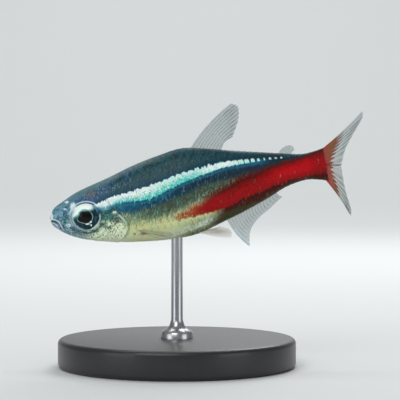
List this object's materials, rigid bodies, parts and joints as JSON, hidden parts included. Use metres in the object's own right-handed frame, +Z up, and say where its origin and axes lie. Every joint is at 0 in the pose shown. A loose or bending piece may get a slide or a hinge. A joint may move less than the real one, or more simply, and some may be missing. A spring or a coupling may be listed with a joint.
{
  "type": "neon tetra",
  "caption": "Slim small freshwater fish swimming nose down with its fins spread, held over a round flat base by a thin rod. A still, life-size model.",
  "frame": {"origin": "centre of the stand base's underside", "axes": "+Z up out of the base, the fish's snout towards -X and its left side towards -Y"},
  "size_m": [0.0331, 0.025, 0.0277],
  "materials": {
    "head_skin": "wet, speckled silver green skin with dark dots",
    "body_skin": "wet scales: olive back, blue green iridescent stripe, navy flank, cream belly",
    "red_skin": "wet scales, bright red",
    "eye": "glossy dark eye with a blue green iris",
    "fin": "clear, faintly smoky membrane with pale rays",
    "stand_base": "satin black",
    "stand_rod": "satin bare steel"
  },
  "bodies": {
    "root": {"head": "head_skin", "lower_jaw": "head_skin", "trunk": "body_skin", "tail_stalk": "red_skin", "eye_left": "eye", "eye_right": "eye", "stand_base": "stand_base", "stand_rod": "stand_rod", "dorsal_fin": "fin", "adipose_fin": "fin", "caudal_fin_upper": "fin", "caudal_fin_lower": "fin", "anal_fin": "fin", "pectoral_fin_left": "fin", "pectoral_fin_right": "fin", "pelvic_fin_left": "fin", "pelvic_fin_right": "fin"}
  },
  "joints": []
}
